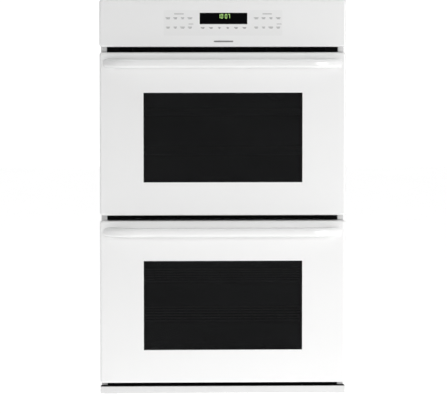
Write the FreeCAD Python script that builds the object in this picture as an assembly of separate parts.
import FreeCAD, Part
import os
from math import sqrt

# Double wall oven, millimetres. +Z is up, the doors face -Y, and the origin is the centre of the
# footprint at the level of the base, so the whole oven is centred on X and Y and stands on Z = 0.

# ---- driving dimensions -------------------------------------------------------------------------
PANEL_WIDTH = 762.0
PANEL_HEIGHT = 146.0
DOOR_INSET = 0.5            # a door's edge in from the control panel's edge
DOOR_HEIGHT = 503.5
DOOR_SPACE = 17.0           # open slot above each door
LEDGE_SPACE = 12.0          # open slot under the lower door
TRIM_INSET = 0.5            # end of the bottom trim in from the door's edge
TRIM_HEIGHT = 22.0          # face of the bottom trim
TRIM_REACH = 38.0           # how far the bottom trim stands in front of the chassis
TRIM_ROUND = 2.0
BODY_INSET = 21.5           # side of the chassis in from the door's edge
BODY_DEPTH = 580.0
TOP_STEP = 16.0             # the control panel stands this much above the chassis
DOOR_THICKNESS = 44.0
DOOR_STANDOFF = 5.0         # gap between a closed door and the chassis front
SHEET = 1.5                 # chassis sheet steel
SKIN = 1.2                  # door and control panel sheet steel
FLANGE = 18.0               # bent edges of the side panels
EDGE_ROLL = 7.0             # rolled front edges of the doors and the control panel
CORNER_ROUND = 8.0          # corners of the doors, seen from the front
TOP_CORNER_ROUND = 9.0      # upper corners of the control panel
ROLL_REST = 0.5             # flat that a rolled edge leaves beside a round corner
PLATE_LAP = 0.5             # front plate past the door's edges
DECK_LIP = 5.0              # bent front edge of the decks
DIVIDER_LIFT = 1.5          # middle deck above the lower edge of its slot

SIDE_TRIM_INSET = 4.5       # outer edge of the side trim in from the door's edge
SIDE_TRIM_STEP = 3.0        # the outer half of the side trim lies this much further back
SIDE_TRIM_INNER = 8.0       # width of its inner half
SIDE_TRIM_LEG = 40.0        # leg that lies along the side panel
CABINET_HOLE_R = 2.25
CABINET_HOLE_EDGE = 4.5     # from the side trim's outer edge
CABINET_HOLE_LOW = 120.0
CABINET_HOLE_PITCH = 860.0

TRIM_SCREW_R = 2.0
TRIM_SCREW_SET = 25.0       # screws of the side trims behind the chassis front
TRIM_SCREW_END = 90.0       # and in from the trims' ends
TRIM_SCREW_HEAD_R = 4.0
TRIM_SCREW_HEAD = 2.0
TRIM_SCREW_LENGTH = 9.0

LOUVRE_WIDTH = 38.0         # slots of the black strips above the doors
LOUVRE_HEIGHT = 3.5
LOUVRE_PITCH = 46.0
LOUVRE_LIFTS = (3.0, 9.5)   # above the strip's lower edge
LOUVRE_END = 20.0
BACK_VENT_HALF = 150.0
BACK_VENT_PITCH = 50.0
BACK_VENT_WIDTH = 36.0
BACK_VENT_HEIGHT = 6.0
BACK_VENT_STEP = 20.0       # between two rows
BACK_VENT_LOW = 80.0        # lowest row above the base
BACK_VENT_TOP = 50.0        # highest row below the chassis top
TOP_VENT_ROWS = 3
TOP_VENT_SET = 90.0         # first row in front of the back
TOP_VENT_STEP = 24.0
TOP_VENT_HALF = 260.0
TOP_VENT_PITCH = 52.0
TOP_VENT_WIDTH = 38.0
TOP_VENT_LENGTH = 7.0
CABLE_GAP_HALF = 90.0       # gap for the cables behind the control panel
CABLE_GAP_LIFT = 30.0
CABLE_GAP_HEIGHT = 40.0

WINDOW_SIDE = 135.0         # window in from the door's sides
WINDOW_LIFT = 102.5         # and from its lower edge
WINDOW_DROP = 124.0         # and from its upper edge
GLASS = 4.0
GLASS_LAP = 15.0            # outer pane behind the edge of the window
TUNNEL_MARGIN = 6.0         # window tunnel of the liner, outside the window's edge
MIDDLE_GLASS_SET = 14.0     # middle pane behind the outer pane
INNER_GLASS_SET = 0.5       # inner pane behind the liner's face
LINER_INSET = 1.5           # liner plate in from the rim of the door skin
LINER_CLEAR = 0.3
RIB_INSET = 70.0            # stiffening ribs of the liner, in from the hinge arms
RIB_HEIGHT = 8.0
RIB_RISE = 2.0
RIB_LIFT = 40.0             # lower rib above the door's lower edge
RIB_DROP = 60.0             # upper rib below its upper edge
BLANKET_EDGE = 6.0          # door blanket in from the skin
BLANKET_CLEAR = 1.0

HANDLE_PROJECTION = 50.0
HANDLE_HEIGHT = 28.0
HANDLE_DROP = 20.0          # from the door's upper edge to the handle
HANDLE_INSET = 10.5         # ends of the handle in from the door's sides
HANDLE_SWEEP = 100.0        # length of each curved end
HANDLE_INNER_SWEEP = 90.0   # and of its inner face
HANDLE_BAR = 22.0           # depth of the bar
HANDLE_FOOT = 30.0          # width of each foot on the door
HANDLE_FRONT_ROUND = 11.0
HANDLE_SCREW_R = 2.5
HANDLE_SCREW_GRIP = 14.0
HANDLE_SCREW_REST = 2.0     # the bore is deeper than the screw
HANDLE_SCREW_HEAD = 3.0
HANDLE_SCREW_ROOM = 8.0     # pocket in the blanket round a screw head
HANDLE_SCREW_DEEP = 6.0
SCREW_CLEAR = 0.1

PIVOT_SET = 18.0            # hinge axis behind the door's front
PIVOT_LIFT = 10.0           # hinge axis above the door's lower edge
HINGE_INSET = 29.0          # hinge arms in from the sides of the chassis
ARM_THICK = 6.0
ARM_R = 9.0
ARM_LENGTH = 60.0           # arm behind the chassis front
ARM_GAP = 2.0               # room around the arm in its slots
ARM_BLOCK_LENGTH = 22.0     # spring block at the arm's inner end
ARM_BLOCK_SIDE = 5.0
ARM_BLOCK_TALL = 4.0
PIN_R = 4.0
PIN_CLEAR = 0.05
CHANNEL_INNER = 18.0
CHANNEL_WALL = 2.0
CHANNEL_HEIGHT = 190.0
CHANNEL_CLEAR = 1.0
CHANNEL_LIFT = 0.5
BOSS_R = 7.0
BOSS_CLEAR = 0.4            # side play of the arm between the bosses

CAVITY_SIDE = 54.0          # cavity wall in from the side of the chassis
CAVITY_BACK = 110.0         # cavity back in front of the chassis back
CAVITY_LIFT = 55.0          # cavity floor above the door's lower edge
CAVITY_DROP = 63.5          # cavity ceiling below the door's upper edge
CAVITY_ROUND = 20.0
INSULATION = 28.0
INSULATION_CLEAR = 0.5
GASKET_WIDTH = 10.0
GASKET_MARGIN = 8.0
GASKET_CLEAR = 0.3
GASKET_ROUND = 3.0

LAMP_INSET = 115.0          # lamp in from the cavity's right wall
LAMP_DROP = 68.0            # lamp and sensor below the cavity's ceiling
LAMP_HOLE_R = 26.0
LENS_R = 34.0
LENS_DOME = 9.0
LENS_ROUND = 6.0
LENS_WALL = 3.0
BULB_R = 11.0
BULB_PEEK = 4.0             # the bulb reaches into the hollow of its cover
BULB_NECK_R = 7.7
BULB_LENGTH = 20.0
SENSOR_INSET = 135.0        # sensor in from the cavity's left wall
SENSOR_R = 2.4
SENSOR_LENGTH = 95.0
SENSOR_PLATE_HALF = 9.0
SENSOR_PLATE_TALL = 15.0

GUIDE_SHARES = (0.18, 0.34, 0.5, 0.66, 0.82)    # rack positions as shares of the cavity's height
RACK_PLACES = (1, 3)        # the two positions that hold a rack
RACK_END = 26.0             # rack in front of the cavity's back
RACK_SET = 24.0             # rack behind the chassis front
RACK_BEND = 18.0
RACK_WIRE_R = 3.0
RACK_CROSS_R = 2.4
RACK_ROD_R = 1.8
RACK_RODS = 17
RACK_CROSS = 4
RACK_CLEAR = 0.3
GUIDE_R = 2.5
GUIDE_STUB_R = 2.0
GUIDE_OFFSET = 6.0          # rails in from the posts
GUIDE_END = 20.0            # posts in from the rails' ends
GUIDE_FOOT = 20.0           # posts past the lowest rail
GUIDE_HEAD = 10.0           # and past the highest
GUIDE_GAP = 0.5

ELEMENT_R = 3.5
ELEMENT_BEND = 22.0
ELEMENT_SIDE = 70.0         # heater tube in from the cavity's side walls
ELEMENT_FRONT = 90.0        # and behind the chassis front
ELEMENT_BACK = 55.0         # and in front of the cavity's back
ELEMENT_STEM = 42.0         # half-distance of the two ends at the back wall
ELEMENT_FOLD = 95.0         # between the outer run and the folded run
ELEMENT_FOLD_END = 75.0     # folded run stops this much short of the back run
ELEMENT_PLATE_SIDE = 14.0
ELEMENT_PLATE_TALL = 12.0
ELEMENT_PLATE = 2.0
ELEMENT_LEG_R = 1.5
ELEMENT_LEG_SET = 60.0      # support wires behind the front run
BAKE_LIFT = 22.0            # above the cavity floor
BROIL_DROP = 24.0           # below the cavity ceiling

LATCH_DROP = 17.5           # latch hook below the door's upper edge
LATCH_BAR = 14.0
LATCH_THICK = 3.0
LATCH_PIVOT_SET = 40.0      # latch pivot behind the chassis front
LATCH_ENTRY = 16.0          # how far the hook reaches into the door
LATCH_BARB = 6.0
LATCH_BARB_LENGTH = 4.5
LATCH_SWING_ROOM = 26.0
LATCH_MARGIN = 3.0
LATCH_PIN_R = 3.0
LATCH_PIN_HEAD = 2.0
LATCH_PIN_HEAD_THICK = 1.5
LATCH_PLATE_HALF = 30.0
LATCH_PLATE_RISE = 0.5      # bracket above the hook
LATCH_EAR = 12.0
LATCH_MOTOR_R = 22.0
LATCH_MOTOR_SET = 6.0       # motor behind the pivot
LATCH_MOTOR_HEIGHT = 14.0
LATCH_ROOM_SIDE = 60.0      # room for the hook in the door's blanket
LATCH_ROOM_DEPTH = 25.0
LATCH_ROOM_DROP = 10.0

SWITCH_INSET = 120.0        # door switch in from the hinge arm
PLUNGER_R = 4.0
PLUNGER_CLEAR = 0.3
PLUNGER_LENGTH = 24.0
PLUNGER_ROUND = 1.2
SWITCH_HALF = 11.0
SWITCH_TALL = 9.0
SWITCH_DEPTH = 34.0
SWITCH_BORE = 29.0

DISPLAY_WIDTH = 147.0
DISPLAY_HEIGHT = 35.0
DISPLAY_X = 1.4
DISPLAY_DROP = 41.0         # from the top of the panel to the lens
LENS = 3.0
LENS_CLEAR = 0.15
LENS_FLANGE = 4.0
KEYPAD_WIDTH = 366.0
KEYPAD_HEIGHT = 78.0
KEYPAD_DROP = 33.0
KEYPAD_ROUND = 4.0
KEYPAD_FILM = 0.4
RIBBON_INSET = 20.0         # slot for the keypad's ribbon, in from the film's left edge
RIBBON_WIDTH = 40.0
RIBBON_LIFT = 4.0

BOARD_HALF = 150.0
BOARD_HEIGHT = 96.0
BOARD_THICK = 1.6
BOARD_SET = 29.0            # board in front of the chassis
BOARD_LIFT = 22.0           # and above its lower edge
TUBE_HALF = 60.0
TUBE_DEPTH = 8.0
TUBE_LOW = 48.0             # display tube above the board's lower edge
TUBE_HIGH = 82.0
TRANSFORMER = (95.0, 140.0, 10.0, 60.0, 22.4)   # left, right, low and high on the board, depth
RELAY_SIDE = 28.0
RELAY_HEIGHT = 20.0
RELAY_DEPTH = 16.4
RELAY_LOW = 8.0
RELAY_START = -135.0
RELAY_PITCH = 40.0
RELAYS = 5
STAND_OFF_R = 3.0
STAND_OFF_SIDE = 8.0        # stand-offs in from the board's edges
STAND_OFF_EDGE = 6.0

BLOWER_R = 62.0
BLOWER_HEIGHT = 46.0
BLOWER_SET = 310.5          # wheel axis behind the chassis front
BLOWER_CLEAR = 4.0
BLOWER_SHAFT_R = 3.0
BLOWER_BLADES = 24
BLADE = 1.0
BLADE_IN = 8.5              # blades from this far inside the wheel's edge
BLADE_OUT = 0.5
WHEEL_DISC = 2.0
WHEEL_RING = 3.0
WHEEL_RING_WIDTH = 9.0
HUB_R = 9.0
HUB_HEIGHT = 14.0
SCROLL_ROOM = 16.0          # between the wheel and the drum
DUCT_HALF = 70.0
DUCT_SET = 100.0            # mouth of the duct behind the chassis front
INLET_R = 43.0
SHAFT_HOLE_R = 6.0
MOTOR_R = 30.0
MOTOR_SINK = 18.0           # motor can reaches into the wheel
MOTOR_HEIGHT = 45.0
BRIDGE_HALF = 62.0
BRIDGE_WIDTH = 18.0
BRIDGE = 2.0
CONDUIT_R = 11.2
CONDUIT_INSET = 109.0       # conduit hole in from the right side
CONDUIT_DROP = 90.0         # and below the chassis top
JUNCTION_SIDE = 110.0
JUNCTION_DEPTH = 60.0

OVER = 1.0                  # cutting shapes reach this much past what they cut
NEAR = 1e-3                 # positions closer than this are the same

# ---- levels and planes worked out from them -----------------------------------------------------
DOOR_WIDTH = PANEL_WIDTH - 2 * DOOR_INSET
TRIM_WIDTH = DOOR_WIDTH - 2 * TRIM_INSET
BODY_WIDTH = DOOR_WIDTH - 2 * BODY_INSET
CAVITY_WIDTH = BODY_WIDTH - 2 * CAVITY_SIDE
CAVITY_DEPTH = BODY_DEPTH - CAVITY_BACK
CAVITY_HEIGHT = DOOR_HEIGHT - CAVITY_LIFT - CAVITY_DROP
WINDOW_WIDTH = DOOR_WIDTH - 2 * WINDOW_SIDE
WINDOW_HEIGHT = DOOR_HEIGHT - WINDOW_LIFT - WINDOW_DROP
LOWER_DOOR_Z = TRIM_HEIGHT + LEDGE_SPACE
UPPER_DOOR_Z = LOWER_DOOR_Z + DOOR_HEIGHT + DOOR_SPACE
PANEL_Z = UPPER_DOOR_Z + DOOR_HEIGHT + DOOR_SPACE
TOP_Z = PANEL_Z + PANEL_HEIGHT
BODY_TOP = TOP_Z - TOP_STEP
DOOR_LEVELS = {"lower": LOWER_DOOR_Z, "upper": UPPER_DOOR_Z}

FRONT_REACH = HANDLE_PROJECTION + DOOR_THICKNESS + DOOR_STANDOFF
FACE_Y = FRONT_REACH - (FRONT_REACH + BODY_DEPTH) / 2      # chassis front
BACK_Y = FACE_Y + BODY_DEPTH
DOOR_IN_Y = FACE_Y - DOOR_STANDOFF
DOOR_FRONT_Y = DOOR_IN_Y - DOOR_THICKNESS
PIVOT_Y = DOOR_FRONT_Y + PIVOT_SET
LINER_Y = DOOR_IN_Y - LINER_INSET                          # liner's face towards the oven
SIDE_X = BODY_WIDTH / 2
SIDE_IN = SIDE_X - SHEET
INNER_FRONT = FACE_Y + 2 * SHEET                           # behind the side panels' front flanges
INNER_BACK = BACK_Y - 2 * SHEET
SHELF_Z = UPPER_DOOR_Z + CAVITY_LIFT + CAVITY_HEIGHT + SHEET + INSULATION + 2 * INSULATION_CLEAR
CAVITY_BACK_Y = FACE_Y + CAVITY_DEPTH
LAMP_LEVEL = CAVITY_LIFT + CAVITY_HEIGHT - LAMP_DROP       # levels above a door's lower edge
LATCH_LEVEL = DOOR_HEIGHT - LATCH_DROP
GUIDE_LEVELS = [CAVITY_LIFT + share * CAVITY_HEIGHT for share in GUIDE_SHARES]
RACK_DEPTH = CAVITY_DEPTH - RACK_SET - RACK_END
SIDE_TRIM_REACH = DOOR_WIDTH / 2 - SIDE_TRIM_INSET
CABINET_HOLE_X = SIDE_TRIM_REACH - CABINET_HOLE_EDGE
HANDLE_HALF = DOOR_WIDTH / 2 - HANDLE_INSET
HANDLE_SCREW_X = HANDLE_HALF - HANDLE_FOOT / 2
HINGE_X = SIDE_X - HINGE_INSET
SWITCH_X = HINGE_X - SWITCH_INSET
LAMP_X = CAVITY_WIDTH / 2 - LAMP_INSET
SENSOR_X = SENSOR_INSET - CAVITY_WIDTH / 2
BLOWER_Y = FACE_Y + BLOWER_SET
CONDUIT_X = SIDE_X - CONDUIT_INSET

X = FreeCAD.Vector(1, 0, 0)
Y = FreeCAD.Vector(0, 1, 0)
Z = FreeCAD.Vector(0, 0, 1)
ORIGIN = FreeCAD.Vector(0, 0, 0)


# ---- helpers ------------------------------------------------------------------------------------
def box(x0, x1, y0, y1, z0, z1):
    return Part.makeBox(x1 - x0, y1 - y0, z1 - z0, FreeCAD.Vector(x0, y0, z0))


def rod(radius, start, direction, length):
    return Part.makeCylinder(radius, length, FreeCAD.Vector(*start), direction)


def union(shapes):
    first, *rest = shapes
    return first.fuse(rest).removeSplitter() if rest else first


def group(shapes):
    return Part.makeCompound(shapes)


def both_sides(shape):
    return [shape, shape.mirror(ORIGIN, X)]


def along(shape, direction, test):
    """Straight edges that run along a direction and whose middle passes the test."""
    found = []
    for edge in shape.Edges:
        if not isinstance(edge.Curve, Part.Line):
            continue
        ends = [v.Point for v in edge.Vertexes]
        run = (ends[1] - ends[0]).normalize()
        if abs(run.dot(direction)) > 1 - NEAR and test(edge.CenterOfMass):
            found.append(edge)
    return found


def edges_at_y(shape, y):
    """Edges that lie in one plane of constant y."""
    return [e for e in shape.Edges if all(abs(v.Point.y - y) < NEAR for v in e.Vertexes)]


def rounded_box(x0, x1, y0, y1, z0, z1, radius):
    """A box whose four long edges along Y are rounded."""
    solid = box(x0, x1, y0, y1, z0, z1)
    return solid.makeFillet(radius, along(solid, Y, lambda p: True))


def front_pan(half, y0, y1, z0, z1, corner_low, corner_high, roll, wall):
    """A folded steel pan open at the back: rounded corners and rolled front edges."""
    middle = (z0 + z1) / 2
    solid = box(-half, half, y0, y1, z0, z1)
    solid = solid.makeFillet(corner_low, along(solid, Y, lambda p: p.z < middle))
    solid = solid.makeFillet(corner_high, along(solid, Y, lambda p: p.z > middle))
    solid = solid.makeFillet(min(roll, corner_low - ROLL_REST), edges_at_y(solid, y0))
    hollow = box(-half + wall, half - wall, y0 + wall, y1 + wall, z0 + wall, z1 - wall)
    inner_round = corner_low - wall
    hollow = hollow.makeFillet(inner_round, along(hollow, Y, lambda p: True))
    hollow = hollow.makeFillet(inner_round - ROLL_REST, edges_at_y(hollow, y0 + wall))
    return solid.cut(hollow)


def bent_rod(points, bend, radius):
    """A round rod along straight runs joined by tangent arcs."""
    corners = [FreeCAD.Vector(*p) for p in points]
    edges = []
    here = corners[0]
    for before, corner, after in zip(corners, corners[1:], corners[2:]):
        into = (corner - before).normalize()
        out = (after - corner).normalize()
        start = corner - into * bend
        end = corner + out * bend
        middle_way = (out - into).normalize()
        centre = corner + (out - into) * bend
        middle = centre - middle_way * bend
        edges.append(Part.LineSegment(here, start).toShape())
        edges.append(Part.Arc(start, middle, end).toShape())
        here = end
    edges.append(Part.LineSegment(here, corners[-1]).toShape())
    path = Part.Wire(edges)
    first = (corners[1] - corners[0]).normalize()
    ring = Part.Wire(Part.makeCircle(radius, corners[0], first))
    return path.makePipeShell([ring], True, False)


def window_box(z, margin, y0, y1):
    half = WINDOW_WIDTH / 2 + margin
    low = z + WINDOW_LIFT - margin
    return box(-half, half, y0, y1, low, z + WINDOW_LIFT + WINDOW_HEIGHT + margin)


# ---- chassis ------------------------------------------------------------------------------------
def side_panel():
    """Right-hand side: a sheet with its front and back edges bent inwards."""
    wall = box(SIDE_IN, SIDE_X, FACE_Y, BACK_Y - SHEET, 0, BODY_TOP)
    front = box(SIDE_X - FLANGE, SIDE_IN, FACE_Y + SHEET, FACE_Y + 2 * SHEET, 0, BODY_TOP)
    back = box(SIDE_X - FLANGE, SIDE_IN, BACK_Y - 2 * SHEET, BACK_Y - SHEET, 0, BODY_TOP)
    return union([wall, front, back]).cut(trim_screw_holes())


def trim_screw_levels():
    return [TRIM_HEIGHT + TRIM_SCREW_END, UPPER_DOOR_Z - DOOR_SPACE / 2, PANEL_Z - TRIM_SCREW_END]


def trim_screw_y():
    return FACE_Y + TRIM_SCREW_SET


def trim_screw_holes():
    """Bores through the side panel and the trim's leg, on the right-hand side."""
    start = SIDE_IN - OVER
    length = 2 * (SHEET + OVER)
    return [rod(TRIM_SCREW_R + SCREW_CLEAR, (start, trim_screw_y(), z), X, length)
            for z in trim_screw_levels()]


def slot_row(x_half, pitch, width, y0, y1, z0, z1):
    count = int(2 * x_half / pitch)
    start = -pitch * (count - 1) / 2
    return [box(start + i * pitch - width / 2, start + i * pitch + width / 2, y0, y1, z0, z1)
            for i in range(count)]


def back_panel():
    panel = box(-SIDE_X, SIDE_X, BACK_Y - SHEET, BACK_Y, 0, BODY_TOP)
    panel = panel.cut(rod(CONDUIT_R, conduit_centre(BACK_Y - 2 * SHEET), Y, 3 * SHEET))
    rows = []
    pairs = [BACK_VENT_LOW, UPPER_DOOR_Z + BACK_VENT_STEP]
    for low in pairs + [level + BACK_VENT_STEP for level in pairs] + [BODY_TOP - BACK_VENT_TOP]:
        rows += slot_row(BACK_VENT_HALF, BACK_VENT_PITCH, BACK_VENT_WIDTH,
                         BACK_Y - 2 * SHEET, BACK_Y + SHEET, low, low + BACK_VENT_HEIGHT)
    return panel.cut(rows)


def conduit_centre(y):
    return (CONDUIT_X, y, BODY_TOP - CONDUIT_DROP)


def top_cover():
    """Top sheet, bent down in front behind the control panel."""
    top = box(-SIDE_IN, SIDE_IN, INNER_FRONT, INNER_BACK, BODY_TOP - SHEET, BODY_TOP)
    lip = box(-SIDE_IN, SIDE_IN, FACE_Y, FACE_Y + SHEET, PANEL_Z, BODY_TOP)
    bend_half = SIDE_X - FLANGE
    bend = box(-bend_half, bend_half, FACE_Y + SHEET, INNER_FRONT, BODY_TOP - SHEET, BODY_TOP)
    cover = union([top, lip, bend])
    rows = []
    for step in range(TOP_VENT_ROWS):
        y = BACK_Y - TOP_VENT_SET - step * TOP_VENT_STEP
        rows += slot_row(TOP_VENT_HALF, TOP_VENT_PITCH, TOP_VENT_WIDTH, y, y + TOP_VENT_LENGTH,
                         BODY_TOP - 2 * SHEET, BODY_TOP + SHEET)
    gap_z = PANEL_Z + CABLE_GAP_LIFT
    cable = box(-CABLE_GAP_HALF, CABLE_GAP_HALF, FACE_Y - SHEET, FACE_Y + 2 * SHEET,
                gap_z, gap_z + CABLE_GAP_HEIGHT)
    return cover.cut(rows + [cable])


def base_pan():
    """Base tray with a front wall up to the lower door."""
    floor = box(-SIDE_IN, SIDE_IN, INNER_FRONT, INNER_BACK, 0, SHEET)
    wall_top = LOWER_DOOR_Z - PLATE_LAP
    wall = box(-SIDE_IN, SIDE_IN, FACE_Y, FACE_Y + SHEET, 0, wall_top)
    bend_half = SIDE_X - FLANGE
    bend = box(-bend_half, bend_half, FACE_Y + SHEET, INNER_FRONT, 0, SHEET)
    return union([floor, wall, bend])


def deck(z, lip_z):
    """A sheet between the side panels with its front edge bent; the lip starts at lip_z."""
    sheet = box(-SIDE_IN, SIDE_IN, INNER_FRONT, INNER_BACK, z, z + SHEET)
    lip = box(-SIDE_IN, SIDE_IN, INNER_FRONT, INNER_FRONT + SHEET, lip_z, lip_z + DECK_LIP)
    return union([sheet, lip])


def centre_divider():
    """Deck between the ovens, below the louvres; its lip is bent down to leave them free."""
    z = UPPER_DOOR_Z - DOOR_SPACE + PLATE_LAP + DIVIDER_LIFT
    return deck(z, z + SHEET - DECK_LIP)


def side_trim():
    """Stepped moulding beside the doors: its outer half lies on the cabinet's face."""
    z0 = TRIM_HEIGHT
    inner_edge = SIDE_X + SIDE_TRIM_INNER
    step_y = FACE_Y + SIDE_TRIM_STEP
    face = box(SIDE_X, inner_edge, FACE_Y - SHEET, FACE_Y, z0, PANEL_Z)
    step = box(inner_edge - SHEET, inner_edge, FACE_Y - SHEET, step_y, z0, PANEL_Z)
    outer = box(inner_edge - SHEET, SIDE_TRIM_REACH, step_y - SHEET, step_y, z0, PANEL_Z)
    leg = box(SIDE_X, SIDE_X + SHEET, FACE_Y - SHEET, FACE_Y + SIDE_TRIM_LEG, z0, PANEL_Z)
    trim = union([face, step, outer, leg])
    for z in (CABINET_HOLE_LOW, CABINET_HOLE_LOW + CABINET_HOLE_PITCH):
        trim = trim.cut(rod(CABINET_HOLE_R, (CABINET_HOLE_X, step_y - 2 * SHEET, z), Y, 3 * SHEET))
    return trim.cut(trim_screw_holes())


def trim_screws():
    screws = []
    for z in trim_screw_levels():
        head_x = SIDE_X + SHEET
        shank = rod(TRIM_SCREW_R, (head_x - TRIM_SCREW_LENGTH, trim_screw_y(), z), X, TRIM_SCREW_LENGTH)
        head = rod(TRIM_SCREW_HEAD_R, (head_x, trim_screw_y(), z), X, TRIM_SCREW_HEAD)
        screws += both_sides(union([shank, head]))
    return group(screws)


def bottom_trim():
    """Moulding under the lower door: face, ledge, closed ends and a lip below, open at the back."""
    half = TRIM_WIDTH / 2
    y0 = FACE_Y - TRIM_REACH
    solid = box(-half, half, y0, FACE_Y, 0, TRIM_HEIGHT)
    solid = solid.makeFillet(TRIM_ROUND, along(solid, X, lambda p: p.y < y0 + NEAR))
    inner = half - SHEET
    return solid.cut(box(-inner, inner, y0 + SHEET, FACE_Y + OVER, SHEET, TRIM_HEIGHT - SHEET))


def vent_grilles():
    """Two black louvred strips in the slots above the doors."""
    grilles = []
    for z in (UPPER_DOOR_Z - DOOR_SPACE + PLATE_LAP, PANEL_Z - DOOR_SPACE + PLATE_LAP):
        strip = box(-SIDE_IN, SIDE_IN, FACE_Y, FACE_Y + SHEET, z, z + DOOR_SPACE - 2 * PLATE_LAP)
        slots = []
        for lift in LOUVRE_LIFTS:
            slots += slot_row(SIDE_IN - LOUVRE_END, LOUVRE_PITCH, LOUVRE_WIDTH, FACE_Y - OVER,
                              FACE_Y + 2 * SHEET, z + lift, z + lift + LOUVRE_HEIGHT)
        grilles.append(strip.cut(slots))
    return group(grilles)


# ---- ovens --------------------------------------------------------------------------------------
def arm_slot(z):
    """Opening for a hinge arm, on the right-hand side."""
    half = ARM_THICK / 2 + ARM_GAP
    pivot_z = z + PIVOT_LIFT
    reach = ARM_R + ARM_GAP
    return box(HINGE_X - half, HINGE_X + half, FACE_Y - OVER, FACE_Y + 3 * SHEET,
               pivot_z - reach, pivot_z + reach)


def cavity(z):
    """Enamelled liner of one oven with the front plate that carries the gasket."""
    half = CAVITY_WIDTH / 2
    low = z + CAVITY_LIFT
    high = low + CAVITY_HEIGHT
    shell = rounded_box(-half - SHEET, half + SHEET, FACE_Y, CAVITY_BACK_Y + SHEET,
                        low - SHEET, high + SHEET, CAVITY_ROUND + SHEET)
    plate = box(-SIDE_IN, SIDE_IN, FACE_Y, FACE_Y + SHEET, z - PLATE_LAP, z + DOOR_HEIGHT + PLATE_LAP)
    hollow = rounded_box(-half, half, FACE_Y - OVER, CAVITY_BACK_Y, low, high, CAVITY_ROUND)
    lamp = rod(LAMP_HOLE_R, (LAMP_X, CAVITY_BACK_Y - OVER, z + LAMP_LEVEL), Y, SHEET + 2 * OVER)
    latch = latch_room(z, FACE_Y - OVER, FACE_Y + 2 * SHEET)
    switch_start = (SWITCH_X, FACE_Y - OVER, z + LATCH_LEVEL)
    switch = rod(PLUNGER_R + PLUNGER_CLEAR, switch_start, Y, SHEET + 2 * OVER)
    return union([shell, plate]).cut([hollow, lamp, latch, switch] + both_sides(arm_slot(z)))


def latch_room(z, y0, y1):
    half = LATCH_BAR / 2 + LATCH_MARGIN
    tall = LATCH_THICK / 2 + LATCH_MARGIN
    centre = z + LATCH_LEVEL
    return box(-half, LATCH_SWING_ROOM, y0, y1, centre - tall, centre + tall)


def insulation(z):
    """Glass-fibre blanket wrapped round the liner, open at the front."""
    half = CAVITY_WIDTH / 2 + SHEET + INSULATION_CLEAR
    low = z + CAVITY_LIFT - SHEET - INSULATION_CLEAR
    high = z + CAVITY_LIFT + CAVITY_HEIGHT + SHEET + INSULATION_CLEAR
    back = CAVITY_BACK_Y + SHEET + INSULATION_CLEAR
    front = INNER_FRONT + INSULATION_CLEAR
    t = INSULATION
    outer = rounded_box(-half - t, half + t, front, back + t, low - t, high + t, CAVITY_ROUND + t)
    inner = rounded_box(-half, half, front - OVER, back, low, high, CAVITY_ROUND + SHEET)
    lamp = rod(LENS_R, (LAMP_X, back - OVER, z + LAMP_LEVEL), Y, t + 2 * OVER)
    return outer.cut([inner, lamp])


def gasket(z):
    half = CAVITY_WIDTH / 2 + GASKET_MARGIN
    low = z + CAVITY_LIFT - GASKET_MARGIN
    high = z + CAVITY_LIFT + CAVITY_HEIGHT + GASKET_MARGIN
    front = LINER_Y + GASKET_CLEAR
    w = GASKET_WIDTH
    outer = rounded_box(-half - w, half + w, front, FACE_Y, low - w, high + w, CAVITY_ROUND + w)
    inner = rounded_box(-half, half, front - OVER, FACE_Y + OVER, low, high, CAVITY_ROUND)
    ring = outer.cut(inner)
    return ring.makeFillet(GASKET_ROUND, edges_at_y(ring, front))


def element(level, wall_z, folded):
    """A tube heater that leaves the back wall, runs round the cavity and returns."""
    half = CAVITY_WIDTH / 2 - ELEMENT_SIDE
    y_back = CAVITY_BACK_Y
    y_near = y_back - ELEMENT_BACK
    y_front = FACE_Y + ELEMENT_FRONT
    stem = ELEMENT_STEM
    route = [(-stem, y_back, level), (-stem, y_near, level), (-half, y_near, level)]
    route.append((-half, y_front, level))
    if folded:
        inner = half - ELEMENT_FOLD
        y_fold = y_near - ELEMENT_FOLD_END
        route += [(-inner, y_front, level), (-inner, y_fold, level)]
        route += [(inner, y_fold, level), (inner, y_front, level)]
    route.append((half, y_front, level))
    route += [(half, y_near, level), (stem, y_near, level), (stem, y_back, level)]
    pieces = [bent_rod(route, ELEMENT_BEND, ELEMENT_R)]
    pieces.append(box(-stem - ELEMENT_PLATE_SIDE, stem + ELEMENT_PLATE_SIDE, y_back - ELEMENT_PLATE, y_back,
                      level - ELEMENT_PLATE_TALL, level + ELEMENT_PLATE_TALL))
    foot = min(level, wall_z)
    for x in (-half, half):
        start = (x, y_front + ELEMENT_LEG_SET, foot)
        pieces.append(rod(ELEMENT_LEG_R, start, Z, abs(level - wall_z)))
    return union(pieces)


def bake_element(z):
    floor = z + CAVITY_LIFT
    return element(floor + BAKE_LIFT, floor, True)


def broil_element(z):
    ceiling = z + CAVITY_LIFT + CAVITY_HEIGHT
    return element(ceiling - BROIL_DROP, ceiling, False)


def sensor(z):
    centre_z = z + LAMP_LEVEL
    start = (SENSOR_X, CAVITY_BACK_Y - SENSOR_LENGTH, centre_z)
    stem = rod(SENSOR_R, start, Y, SENSOR_LENGTH)
    plate = box(SENSOR_X - SENSOR_PLATE_HALF, SENSOR_X + SENSOR_PLATE_HALF, CAVITY_BACK_Y - SHEET,
                CAVITY_BACK_Y, centre_z - SENSOR_PLATE_TALL, centre_z + SENSOR_PLATE_TALL)
    tip = Part.makeSphere(SENSOR_R, FreeCAD.Vector(*start))
    return union([stem, plate, tip])


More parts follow.
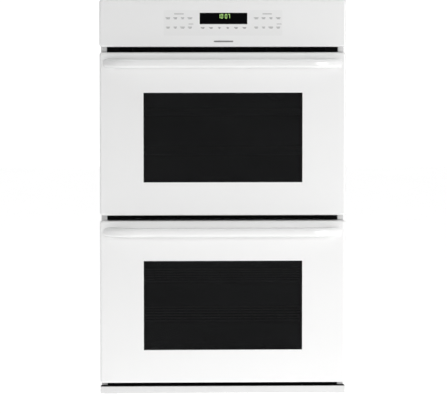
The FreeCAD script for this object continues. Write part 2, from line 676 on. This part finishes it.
def lamp_lens(z):
    """Domed glass cover on the cavity's back wall."""
    centre_z = z + LAMP_LEVEL
    top_y = CAVITY_BACK_Y - LENS_DOME
    disc = rod(LENS_R, (LAMP_X, top_y, centre_z), Y, LENS_DOME)
    disc = disc.makeFillet(LENS_ROUND, edges_at_y(disc, top_y))
    hollow = rod(LAMP_HOLE_R - LENS_WALL, (LAMP_X, top_y + LENS_WALL, centre_z), Y, LENS_DOME)
    return disc.cut(hollow)


def lamp_bulb(z):
    y = CAVITY_BACK_Y + BULB_R
    glass = Part.makeSphere(BULB_R, FreeCAD.Vector(LAMP_X, y - BULB_PEEK, z + LAMP_LEVEL))
    neck = rod(BULB_NECK_R, (LAMP_X, y, z + LAMP_LEVEL), Y, BULB_LENGTH)
    return union([glass, neck])


def rack_guide(z):
    """Right-hand wire ladder that carries the racks."""
    post_x = CAVITY_WIDTH / 2 - GUIDE_R
    rail_x = post_x - GUIDE_OFFSET
    y0 = FACE_Y + RACK_SET
    post_ys = (y0 + GUIDE_END, y0 + RACK_DEPTH - GUIDE_END)
    wires = []
    for level in GUIDE_LEVELS:
        rail_z = z + level - RACK_WIRE_R - GUIDE_R - RACK_CLEAR
        wires.append(rod(GUIDE_R, (rail_x, y0, rail_z), Y, RACK_DEPTH))
        wires += [rod(GUIDE_STUB_R, (rail_x, y, rail_z), X, GUIDE_OFFSET) for y in post_ys]
    height = GUIDE_LEVELS[-1] - GUIDE_LEVELS[0] + GUIDE_FOOT + GUIDE_HEAD
    wires += [rod(GUIDE_R, (post_x, y, z + GUIDE_LEVELS[0] - GUIDE_FOOT), Z, height) for y in post_ys]
    return union(wires)


def rack(z, place):
    """Wire shelf: a bent frame with cross wires and long rods, welded together."""
    half = CAVITY_WIDTH / 2 - 2 * GUIDE_R - RACK_WIRE_R - GUIDE_GAP
    y0 = FACE_Y + RACK_SET
    y1 = y0 + RACK_DEPTH
    height = z + GUIDE_LEVELS[place]
    middle = (0, y0, height)
    route = [middle, (half, y0, height), (half, y1, height), (-half, y1, height), (-half, y0, height), middle]
    wires = [bent_rod(route, RACK_BEND, RACK_WIRE_R)]
    for i in range(RACK_CROSS):
        y = y0 + (i + 1) * RACK_DEPTH / (RACK_CROSS + 1)
        wires.append(rod(RACK_CROSS_R, (-half, y, height), X, 2 * half))
    rod_half = half - RACK_BEND
    for i in range(RACK_RODS):
        x = rod_half * (2 * i / (RACK_RODS - 1) - 1)
        wires.append(rod(RACK_ROD_R, (x, y0, height), Y, RACK_DEPTH))
    return union(wires)


# ---- latch and door switch ----------------------------------------------------------------------
def latch_hook(z):
    """Flat bar on a vertical pivot with a barb at its nose."""
    level = z + LATCH_LEVEL - LATCH_THICK / 2
    half = LATCH_BAR / 2
    pivot_y = FACE_Y + LATCH_PIVOT_SET
    nose_y = DOOR_IN_Y - LATCH_ENTRY
    bar = box(-half, half, nose_y, pivot_y, level, level + LATCH_THICK)
    end = rod(half, (0, pivot_y, level), Z, LATCH_THICK)
    barb = box(0, half + LATCH_BARB, nose_y, nose_y + LATCH_BARB_LENGTH, level, level + LATCH_THICK)
    hole = rod(LATCH_PIN_R + PIN_CLEAR, (0, pivot_y, level - OVER), Z, LATCH_THICK + 2 * OVER)
    return union([bar, end, barb]).cut(hole)


def latch_motor(z):
    """Bracket on the front plate, pivot pin and gear motor above the hook."""
    level = z + LATCH_LEVEL - LATCH_THICK / 2
    pivot_y = FACE_Y + LATCH_PIVOT_SET
    half = LATCH_PLATE_HALF
    plate_z = level + LATCH_THICK + LATCH_PLATE_RISE
    plate = box(-half, half, FACE_Y + 2 * SHEET, pivot_y + half, plate_z, plate_z + SHEET)
    ear = box(-half, half, FACE_Y + SHEET, FACE_Y + 2 * SHEET, plate_z, plate_z + LATCH_EAR)
    pin_z = level - LATCH_PIN_HEAD
    pin = rod(LATCH_PIN_R, (0, pivot_y, pin_z), Z, plate_z - pin_z)
    head = rod(LATCH_PIN_R + LATCH_PIN_HEAD, (0, pivot_y, pin_z), Z, LATCH_PIN_HEAD_THICK)
    motor = rod(LATCH_MOTOR_R, (0, pivot_y + LATCH_MOTOR_SET, plate_z + SHEET), Z, LATCH_MOTOR_HEIGHT)
    return union([plate, ear, pin, head, motor])


def plunger(z):
    """Door switch button, pressed in by the closed door."""
    y0 = LINER_Y + PLUNGER_CLEAR
    stem = rod(PLUNGER_R, (SWITCH_X, y0, z + LATCH_LEVEL), Y, PLUNGER_LENGTH)
    return stem.makeFillet(PLUNGER_ROUND, edges_at_y(stem, y0))


def door_switch(z):
    centre = z + LATCH_LEVEL
    y0 = FACE_Y + SHEET
    body = box(SWITCH_X - SWITCH_HALF, SWITCH_X + SWITCH_HALF, y0, y0 + SWITCH_DEPTH,
               centre - SWITCH_TALL, centre + SWITCH_TALL)
    bore = rod(PLUNGER_R + PLUNGER_CLEAR, (SWITCH_X, y0 - OVER, centre), Y, SWITCH_BORE + OVER)
    return body.cut(bore)


# ---- hinges -------------------------------------------------------------------------------------
def hinge_arm(z):
    """Right-hand arm: hooks into the chassis and carries the door's pin."""
    pivot_z = z + PIVOT_LIFT
    end_y = FACE_Y + ARM_LENGTH
    x0 = HINGE_X - ARM_THICK / 2
    x1 = x0 + ARM_THICK
    eye = rod(ARM_R, (x0, PIVOT_Y, pivot_z), X, ARM_THICK)
    bar = box(x0, x1, PIVOT_Y, end_y, pivot_z - ARM_R, pivot_z + ARM_R)
    hole = rod(PIN_R + PIN_CLEAR, (x0 - OVER, PIVOT_Y, pivot_z), X, ARM_THICK + 2 * OVER)
    tall = ARM_R + ARM_BLOCK_TALL
    block = box(x0 - ARM_BLOCK_SIDE, x1 + ARM_BLOCK_SIDE, end_y - ARM_BLOCK_LENGTH, end_y,
                pivot_z - tall, pivot_z + tall)
    return union([eye, bar, block]).cut(hole)


def hinge_channel(z):
    """Right-hand channel inside the door, with the pin and its bosses."""
    inner = CHANNEL_INNER / 2
    outer = inner + CHANNEL_WALL
    pivot_z = z + PIVOT_LIFT
    y0 = PIVOT_Y - ARM_R - ARM_GAP
    y1 = LINER_Y - SHEET - CHANNEL_CLEAR
    low = z + SKIN + CHANNEL_LIFT
    web = y0 - CHANNEL_WALL
    channel = box(HINGE_X - outer, HINGE_X + outer, web, y1, low, low + CHANNEL_HEIGHT)
    hollow = box(HINGE_X - inner, HINGE_X + inner, y0, y1 + OVER, low - OVER, low + CHANNEL_HEIGHT + OVER)
    foot_top = pivot_z + ARM_R + 2 * ARM_GAP
    foot = box(HINGE_X - inner, HINGE_X + inner, web - OVER, y0 + OVER, low - OVER, foot_top)
    pin = rod(PIN_R, (HINGE_X - outer, PIVOT_Y, pivot_z), X, 2 * outer)
    boss_length = inner - ARM_THICK / 2 - BOSS_CLEAR
    left = rod(BOSS_R, (HINGE_X - inner, PIVOT_Y, pivot_z), X, boss_length)
    right = rod(BOSS_R, (HINGE_X + inner - boss_length, PIVOT_Y, pivot_z), X, boss_length)
    return union([channel.cut([hollow, foot]), pin, left, right])


def arm_sweep(z):
    """Space that the right-hand arm needs in the door as it opens."""
    half = ARM_THICK / 2 + ARM_GAP
    top = z + PIVOT_LIFT + ARM_R + ARM_GAP
    return box(HINGE_X - half, HINGE_X + half, PIVOT_Y - ARM_R - ARM_GAP, DOOR_IN_Y + OVER, z - OVER, top)


def channel_space(z):
    outer = CHANNEL_INNER / 2 + CHANNEL_WALL + BLANKET_CLEAR
    top = z + CHANNEL_HEIGHT + BLANKET_EDGE
    return box(HINGE_X - outer, HINGE_X + outer, DOOR_FRONT_Y, DOOR_IN_Y, z, top)


# ---- doors --------------------------------------------------------------------------------------
def door_skin(z):
    """Painted outer pan of a door with the window opening."""
    pan = front_pan(DOOR_WIDTH / 2, DOOR_FRONT_Y, DOOR_IN_Y, z, z + DOOR_HEIGHT,
                    CORNER_ROUND, CORNER_ROUND, EDGE_ROLL, SKIN)
    holes = [window_box(z, 0, DOOR_FRONT_Y - OVER, DOOR_FRONT_Y + 2 * SKIN)]
    holes += both_sides(arm_sweep(z))
    start = (HANDLE_SCREW_X, DOOR_FRONT_Y - OVER, handle_level(z))
    holes += both_sides(rod(HANDLE_SCREW_R + SCREW_CLEAR, start, Y, SKIN + 2 * OVER))
    return pan.cut(holes)


def door_liner(z):
    """Inner plate of a door with the tunnel that holds the panes."""
    half = DOOR_WIDTH / 2 - SKIN - LINER_CLEAR
    low = z + SKIN + LINER_CLEAR
    high = z + DOOR_HEIGHT - SKIN - LINER_CLEAR
    plate = rounded_box(-half, half, LINER_Y - SHEET, LINER_Y, low, high, CORNER_ROUND - SKIN)
    pane_back = DOOR_FRONT_Y + SKIN + GLASS
    tunnel = window_box(z, TUNNEL_MARGIN + SHEET, pane_back, LINER_Y)
    inside = window_box(z, TUNNEL_MARGIN, pane_back - OVER, LINER_Y + OVER)
    latch = latch_room(z, LINER_Y - 2 * SHEET, LINER_Y + OVER)
    rib_y = LINER_Y - SHEET
    rib_half = HINGE_X - RIB_INSET
    ribs = [box(-rib_half, rib_half, rib_y - RIB_RISE, rib_y, rib_z, rib_z + RIB_HEIGHT)
            for rib_z in (z + RIB_LIFT, z + DOOR_HEIGHT - RIB_DROP)]
    return union([plate, tunnel] + ribs).cut([inside, latch] + both_sides(arm_sweep(z)))


def window_glass(z):
    y0 = DOOR_FRONT_Y + SKIN
    return window_box(z, GLASS_LAP, y0, y0 + GLASS)


def middle_glass(z):
    y0 = DOOR_FRONT_Y + SKIN + GLASS + MIDDLE_GLASS_SET
    return window_box(z, TUNNEL_MARGIN, y0, y0 + GLASS)


def inner_glass(z):
    y1 = LINER_Y - INNER_GLASS_SET
    return window_box(z, TUNNEL_MARGIN, y1 - GLASS, y1)


def door_insulation(z):
    """Fibre blanket between skin and liner, round the window tunnel."""
    edge = SKIN + BLANKET_EDGE
    half = DOOR_WIDTH / 2 - edge
    y0 = DOOR_FRONT_Y + SKIN + GLASS + BLANKET_CLEAR
    y1 = LINER_Y - SHEET - RIB_RISE - BLANKET_CLEAR
    blanket = box(-half, half, y0, y1, z + edge, z + DOOR_HEIGHT - edge)
    tunnel = window_box(z, TUNNEL_MARGIN + SHEET + BLANKET_CLEAR, y0 - OVER, y1 + OVER)
    latch = box(-LATCH_ROOM_SIDE, LATCH_ROOM_SIDE, y1 - LATCH_ROOM_DEPTH, y1 + OVER,
                z + LATCH_LEVEL - LATCH_ROOM_DROP, z + DOOR_HEIGHT)
    room = HANDLE_SCREW_ROOM
    level = handle_level(z)
    head = box(HANDLE_SCREW_X - room, HANDLE_SCREW_X + room, y0 - OVER, y0 + HANDLE_SCREW_DEEP,
               level - room, level + room)
    return blanket.cut([tunnel, latch] + both_sides(head) + both_sides(channel_space(z)))


def handle_level(z):
    return z + DOOR_HEIGHT - HANDLE_DROP - HANDLE_HEIGHT / 2


def bow_arc(x_end, x_straight, depth):
    """Arc tangent to the straight middle that comes down on the door at x_end."""
    run = x_end - x_straight
    radius = (run * run + depth * depth) / (2 * depth)
    centre_y = DOOR_FRONT_Y - depth + radius
    half_x = x_straight + run / 2
    half_y = centre_y - sqrt(radius * radius - (run / 2) ** 2)
    return half_x, half_y


def handle(z):
    """Full-width bow handle with flared feet flat on the door."""
    low = handle_level(z) - HANDLE_HEIGHT / 2
    front = DOOR_FRONT_Y - HANDLE_PROJECTION
    back = front + HANDLE_BAR
    foot_in = HANDLE_HALF - HANDLE_FOOT
    straight = HANDLE_HALF - HANDLE_SWEEP
    inner = foot_in - HANDLE_INNER_SWEEP
    out_x, out_y = bow_arc(HANDLE_HALF, straight, HANDLE_PROJECTION)
    in_x, in_y = bow_arc(foot_in, inner, HANDLE_PROJECTION - HANDLE_BAR)

    def at(x, y):
        return FreeCAD.Vector(x, y, low)

    outline = [
        Part.Arc(at(-HANDLE_HALF, DOOR_FRONT_Y), at(-out_x, out_y), at(-straight, front)),
        Part.LineSegment(at(-straight, front), at(straight, front)),
        Part.Arc(at(straight, front), at(out_x, out_y), at(HANDLE_HALF, DOOR_FRONT_Y)),
        Part.LineSegment(at(HANDLE_HALF, DOOR_FRONT_Y), at(foot_in, DOOR_FRONT_Y)),
        Part.Arc(at(foot_in, DOOR_FRONT_Y), at(in_x, in_y), at(inner, back)),
        Part.LineSegment(at(inner, back), at(-inner, back)),
        Part.Arc(at(-inner, back), at(-in_x, in_y), at(-foot_in, DOOR_FRONT_Y)),
        Part.LineSegment(at(-foot_in, DOOR_FRONT_Y), at(-HANDLE_HALF, DOOR_FRONT_Y)),
    ]
    wire = Part.Wire([curve.toShape() for curve in outline])
    bar = Part.Face(wire).extrude(Z * HANDLE_HEIGHT)
    level_edges = [e for e in bar.Edges if abs(e.tangentAt(e.FirstParameter).z) < NEAR]
    bar = bar.makeFillet(HANDLE_FRONT_ROUND, [e for e in level_edges if is_front_edge(e)])
    start = (HANDLE_SCREW_X, DOOR_FRONT_Y - HANDLE_SCREW_GRIP, handle_level(z))
    return bar.cut(both_sides(rod(HANDLE_SCREW_R + SCREW_CLEAR, start, Y, HANDLE_SCREW_GRIP + OVER)))


def is_front_edge(edge):
    """True for the edges of the handle's front face: its straight middle and its end arcs."""
    front = DOOR_FRONT_Y - HANDLE_PROJECTION
    if isinstance(edge.Curve, Part.Line):
        return abs(edge.CenterOfMass.y - front) < NEAR
    return any(abs(abs(v.Point.x) - HANDLE_HALF) < NEAR for v in edge.Vertexes)


def handle_screws(z):
    level = handle_level(z)
    grip = HANDLE_SCREW_GRIP - HANDLE_SCREW_REST
    shank = rod(HANDLE_SCREW_R, (HANDLE_SCREW_X, DOOR_FRONT_Y - grip, level), Y, grip + SKIN)
    head = rod(2 * HANDLE_SCREW_R, (HANDLE_SCREW_X, DOOR_FRONT_Y + SKIN, level), Y, HANDLE_SCREW_HEAD)
    return group(both_sides(union([shank, head])))


# ---- control panel ------------------------------------------------------------------------------
def control_fascia():
    pan = front_pan(PANEL_WIDTH / 2, DOOR_FRONT_Y, FACE_Y, PANEL_Z, TOP_Z, CORNER_ROUND, TOP_CORNER_ROUND,
                    EDGE_ROLL, SKIN)
    lens = display_box(DOOR_FRONT_Y - OVER, DOOR_FRONT_Y + 2 * SKIN, 0.0)
    pocket = keypad_box(DOOR_FRONT_Y - OVER, DOOR_FRONT_Y + KEYPAD_FILM)
    ribbon_x = RIBBON_INSET - KEYPAD_WIDTH / 2
    ribbon_z = TOP_Z - KEYPAD_DROP - KEYPAD_HEIGHT + RIBBON_LIFT
    ribbon = box(ribbon_x, ribbon_x + RIBBON_WIDTH, DOOR_FRONT_Y - OVER, DOOR_FRONT_Y + 2 * SKIN,
                 ribbon_z, ribbon_z + RIBBON_LIFT)
    return pan.cut([lens, pocket, ribbon])


def display_box(y0, y1, growth):
    half = DISPLAY_WIDTH / 2 + growth
    z1 = TOP_Z - DISPLAY_DROP
    return box(DISPLAY_X - half, DISPLAY_X + half, y0, y1, z1 - DISPLAY_HEIGHT - growth, z1 + growth)


def keypad_box(y0, y1):
    z1 = TOP_Z - KEYPAD_DROP
    half = KEYPAD_WIDTH / 2
    return rounded_box(-half, half, y0, y1, z1 - KEYPAD_HEIGHT, z1, KEYPAD_ROUND)


def keypad_overlay():
    film = keypad_box(DOOR_FRONT_Y, DOOR_FRONT_Y + KEYPAD_FILM)
    return film.cut(display_box(DOOR_FRONT_Y - OVER, DOOR_FRONT_Y + OVER, 0.0))


def display_lens():
    window = display_box(DOOR_FRONT_Y, DOOR_FRONT_Y + 2 * SKIN, -LENS_CLEAR)
    flange = display_box(DOOR_FRONT_Y + SKIN, DOOR_FRONT_Y + SKIN + LENS, LENS_FLANGE)
    return union([window, flange])


def control_board():
    """Circuit board on stand-offs with its display tube, relays and transformer."""
    y0 = FACE_Y - BOARD_SET
    y1 = y0 + BOARD_THICK
    panel_y = DOOR_FRONT_Y + SKIN
    z0 = PANEL_Z + BOARD_LIFT
    left, right, low, high, depth = TRANSFORMER
    pieces = [
        box(-BOARD_HALF, BOARD_HALF, y0, y1, z0, z0 + BOARD_HEIGHT),
        box(-TUBE_HALF, TUBE_HALF, y0 - TUBE_DEPTH, y0, z0 + TUBE_LOW, z0 + TUBE_HIGH),
        box(left, right, y1, y1 + depth, z0 + low, z0 + high),
    ]
    for i in range(RELAYS):
        x = RELAY_START + i * RELAY_PITCH
        relay_z = z0 + RELAY_LOW
        pieces.append(box(x, x + RELAY_SIDE, y1, y1 + RELAY_DEPTH, relay_z, relay_z + RELAY_HEIGHT))
    x = BOARD_HALF - STAND_OFF_SIDE
    for z in (z0 + STAND_OFF_EDGE, z0 + BOARD_HEIGHT - STAND_OFF_EDGE):
        pieces += both_sides(rod(STAND_OFF_R, (x, panel_y, z), Y, y0 - panel_y))
    return union(pieces)


# ---- cooling blower and supply ------------------------------------------------------------------
def drum_height():
    return BLOWER_HEIGHT + 3 * BLOWER_CLEAR


def wheel_level():
    return SHELF_Z + 2 * SHEET + BLOWER_CLEAR


def blower_housing():
    """Scroll drum on the shelf with a duct that blows forward to the slot over the door."""
    z0 = SHELF_Z + SHEET
    z1 = z0 + drum_height()
    radius = BLOWER_R + SCROLL_ROOM
    drum = rod(radius + SHEET, (0, BLOWER_Y, z0), Z, z1 - z0)
    mouth = FACE_Y + DUCT_SET
    duct = box(-DUCT_HALF, DUCT_HALF, mouth, BLOWER_Y, z0, z1)
    drum_in = rod(radius, (0, BLOWER_Y, z0 + SHEET), Z, z1 - z0 - 2 * SHEET)
    duct_in = box(-DUCT_HALF + SHEET, DUCT_HALF - SHEET, mouth - OVER, BLOWER_Y, z0 + SHEET, z1 - SHEET)
    inlet = rod(INLET_R, (0, BLOWER_Y, z1 - 2 * SHEET), Z, 3 * SHEET)
    shaft = rod(SHAFT_HOLE_R, (0, BLOWER_Y, z0 - OVER), Z, 3 * SHEET)
    return union([drum, duct]).cut([drum_in, duct_in, inlet, shaft])


def blower_wheel():
    """Squirrel-cage wheel: a hub disc, a rim ring and upright blades."""
    z0 = wheel_level()
    disc = rod(BLOWER_R, (0, BLOWER_Y, z0), Z, WHEEL_DISC)
    hub = rod(HUB_R, (0, BLOWER_Y, z0), Z, HUB_HEIGHT)
    ring_z = z0 + BLOWER_HEIGHT - WHEEL_RING
    ring = rod(BLOWER_R, (0, BLOWER_Y, ring_z), Z, WHEEL_RING)
    ring_in = rod(BLOWER_R - WHEEL_RING_WIDTH, (0, BLOWER_Y, ring_z - OVER), Z, WHEEL_RING + 2 * OVER)
    blade = box(BLOWER_R - BLADE_IN, BLOWER_R - BLADE_OUT, BLOWER_Y - BLADE / 2, BLOWER_Y + BLADE / 2,
                z0, z0 + BLOWER_HEIGHT)
    pieces = [disc, hub, ring.cut(ring_in)]
    for i in range(BLOWER_BLADES):
        turned = blade.copy()
        turned.rotate(FreeCAD.Vector(0, BLOWER_Y, 0), Z, 360 * i / BLOWER_BLADES)
        pieces.append(turned)
    bore = rod(BLOWER_SHAFT_R + PIN_CLEAR, (0, BLOWER_Y, z0 - OVER), Z, HUB_HEIGHT + 2 * OVER)
    return union(pieces).cut(bore)


def blower_motor():
    """Motor that stands in the eye of the wheel, held by a bridge over the inlet."""
    z0 = wheel_level()
    z_top = SHELF_Z + SHEET + drum_height()
    half = BRIDGE_WIDTH / 2
    shaft = rod(BLOWER_SHAFT_R, (0, BLOWER_Y, z0), Z, z_top - z0)
    can = rod(MOTOR_R, (0, BLOWER_Y, z_top - MOTOR_SINK), Z, MOTOR_HEIGHT)
    bridge = box(-BRIDGE_HALF, BRIDGE_HALF, BLOWER_Y - half, BLOWER_Y + half, z_top, z_top + BRIDGE)
    return union([shaft, can, bridge])


def junction_box():
    """Steel box behind the conduit hole where the supply cable is joined."""
    cx, _, cz = conduit_centre(BACK_Y)
    half = JUNCTION_SIDE / 2
    inner = half - SHEET
    y1 = INNER_BACK + SHEET
    y0 = y1 - JUNCTION_DEPTH
    solid = box(cx - half, cx + half, y0, y1, cz - half, cz + half)
    hollow = box(cx - inner, cx + inner, y0 + SHEET, y1 + OVER, cz - inner, cz + inner)
    return solid.cut(hollow)


# ---- export -------------------------------------------------------------------------------------
def levels(make):
    return group([make(z) for z in DOOR_LEVELS.values()])


def four(make):
    solids = []
    for z in DOOR_LEVELS.values():
        solids += both_sides(make(z))
    return group(solids)


def all_parts():
    right_panel = side_panel()
    right_trim = side_trim()
    parts = {
        "side_panel_right": right_panel,
        "side_panel_left": right_panel.mirror(ORIGIN, X),
        "back_panel": back_panel(),
        "top_cover": top_cover(),
        "base_pan": base_pan(),
        "centre_divider": centre_divider(),
        "control_shelf": deck(SHELF_Z, SHELF_Z),
        "side_trim_right": right_trim,
        "side_trim_left": right_trim.mirror(ORIGIN, X),
        "bottom_trim": bottom_trim(),
        "trim_screws": trim_screws(),
        "vent_grilles": vent_grilles(),
        "control_fascia": control_fascia(),
        "keypad_overlay": keypad_overlay(),
        "display_lens": display_lens(),
        "control_board": control_board(),
        "blower_housing": blower_housing(),
        "blower_motor": blower_motor(),
        "blower_wheel": blower_wheel(),
        "junction_box": junction_box(),
        "door_gaskets": levels(gasket),
        "cavity_insulation": levels(insulation),
        "bake_elements": levels(bake_element),
        "broil_elements": levels(broil_element),
        "temperature_sensors": levels(sensor),
        "lamp_lenses": levels(lamp_lens),
        "lamp_bulbs": levels(lamp_bulb),
        "rack_guides": four(rack_guide),
        "latch_motors": levels(latch_motor),
        "door_switches": levels(door_switch),
        "hinge_arms": four(hinge_arm),
    }
    for name, z in DOOR_LEVELS.items():
        parts[name + "_cavity"] = cavity(z)
        parts[name + "_latch_hook"] = latch_hook(z)
        parts[name + "_switch_plunger"] = plunger(z)
        parts[name + "_oven_rack_low"] = rack(z, RACK_PLACES[0])
        parts[name + "_oven_rack_high"] = rack(z, RACK_PLACES[1])
        parts[name + "_door_skin"] = door_skin(z)
        parts[name + "_door_liner"] = door_liner(z)
        parts[name + "_door_insulation"] = door_insulation(z)
        parts[name + "_window_glass"] = window_glass(z)
        parts[name + "_middle_glass"] = middle_glass(z)
        parts[name + "_inner_glass"] = inner_glass(z)
        parts[name + "_door_handle"] = handle(z)
        parts[name + "_handle_screws"] = handle_screws(z)
        parts[name + "_hinge_channels"] = group(both_sides(hinge_channel(z)))
    return parts


os.makedirs("parts", exist_ok=True)
for node, shape in all_parts().items():
    shape.exportStep("parts/" + node + ".step")
    solids = shape.Solids
    print(node, "solids", len(solids), "valid", shape.isValid(), "volume", round(shape.Volume))
